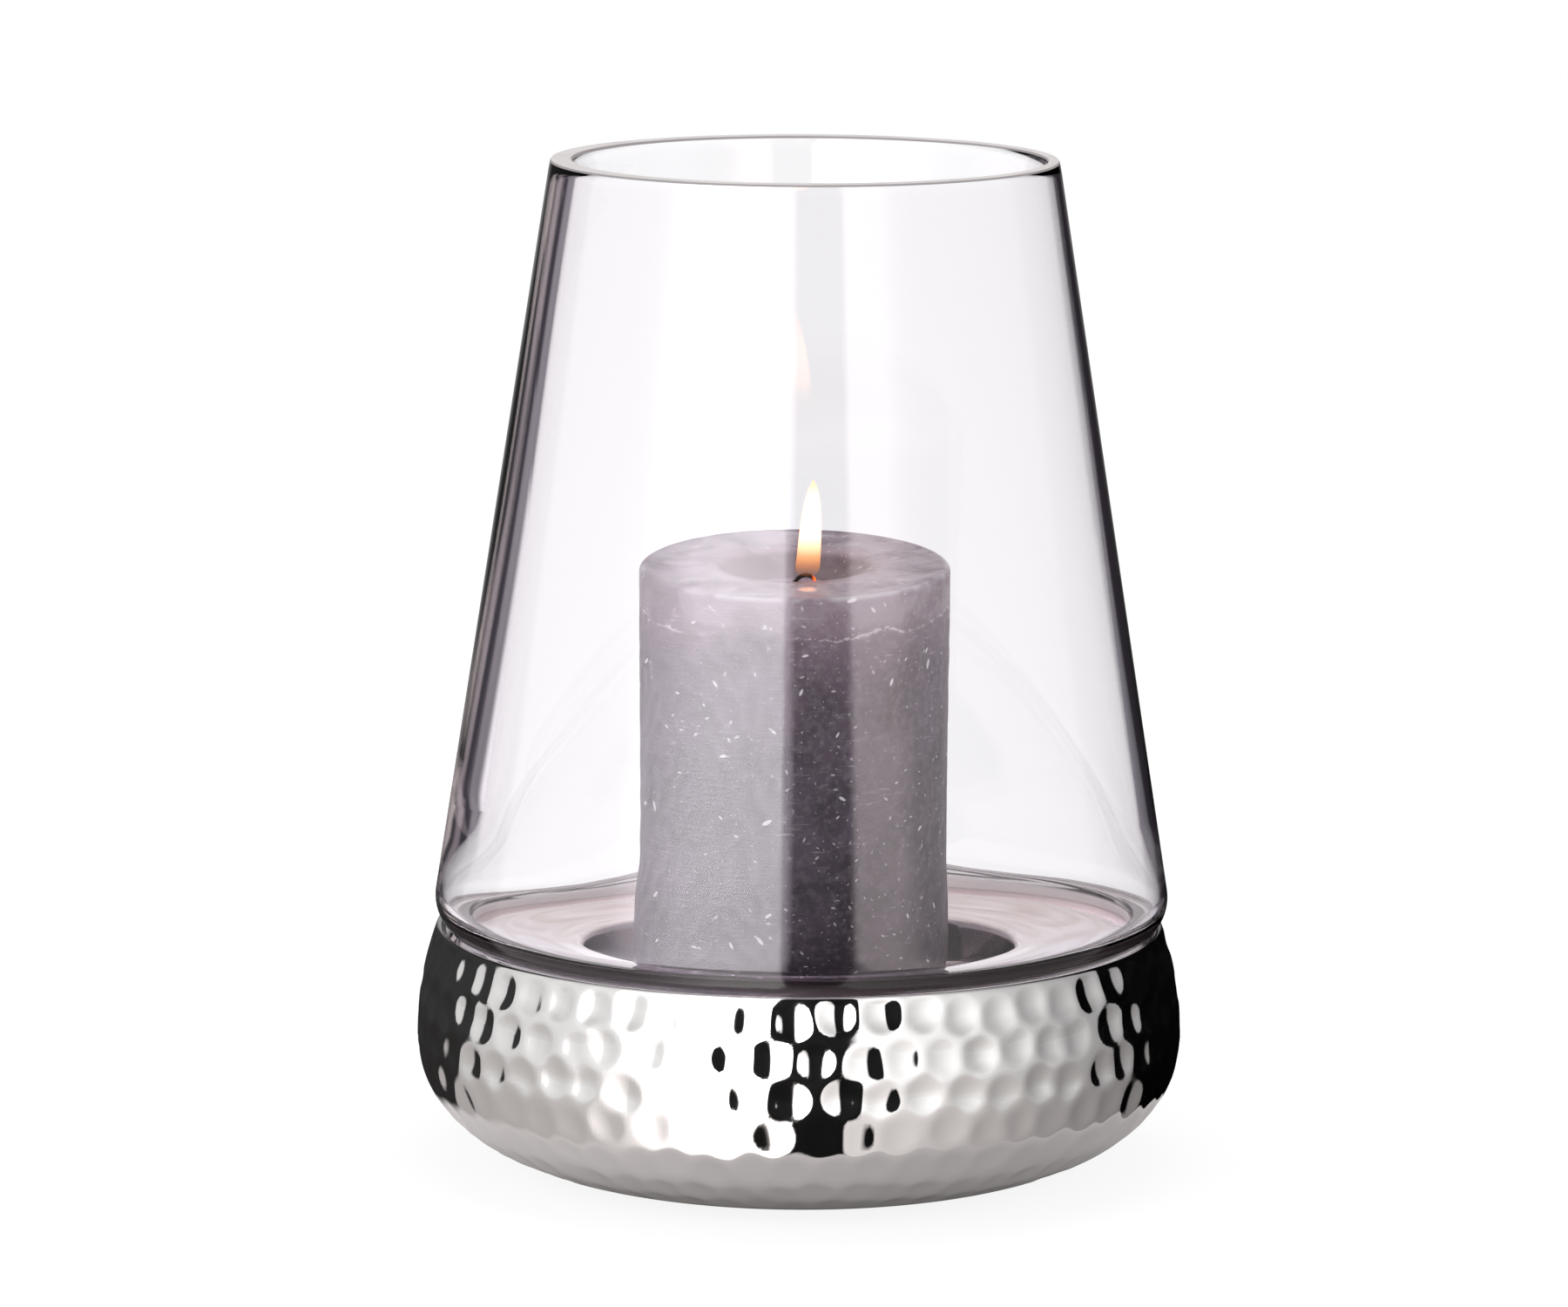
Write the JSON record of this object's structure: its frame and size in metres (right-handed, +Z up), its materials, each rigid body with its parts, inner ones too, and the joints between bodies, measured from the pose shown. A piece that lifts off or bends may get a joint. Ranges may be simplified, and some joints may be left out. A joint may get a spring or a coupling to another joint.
{
  "type": "hurricane candle lantern",
  "caption": "Conical glass hurricane shade standing on a round hammered silver-coloured base, with a lilac-grey pillar candle in the base's well.",
  "frame": {"origin": "where the lantern's axis meets the table, in the plane of the felt pads' undersides", "axes": "+Z up along the axis of the base and the shade; +X to the right and +Y to the back of the front view, in which the candle's rim leans down towards the viewer"},
  "size_m": [0.1974, 0.1974, 0.2595],
  "materials": {
    "platinum_lustre": "polished",
    "clear_glass": "gloss",
    "lilac_wax": "satin",
    "burnt_cotton": "matte",
    "felt": "matte"
  },
  "bodies": {
    "base": {"base_body": "platinum_lustre", "felt_pad_1": "felt", "felt_pad_2": "felt", "felt_pad_3": "felt", "felt_pad_4": "felt"},
    "shade": {"glass_shade": "clear_glass"},
    "candle": {"candle_wax": "lilac_wax", "wick": "burnt_cotton"}
  },
  "joints": [
    {"name": "shade_lift", "type": "slide", "parent": "base", "child": "shade", "axis": [0, 0, 1], "range_m": [0, 0.12]},
    {"name": "candle_lift", "type": "slide", "parent": "base", "child": "candle", "axis": [0, 0, 1], "range_m": [0, 0.23]}
  ]
}
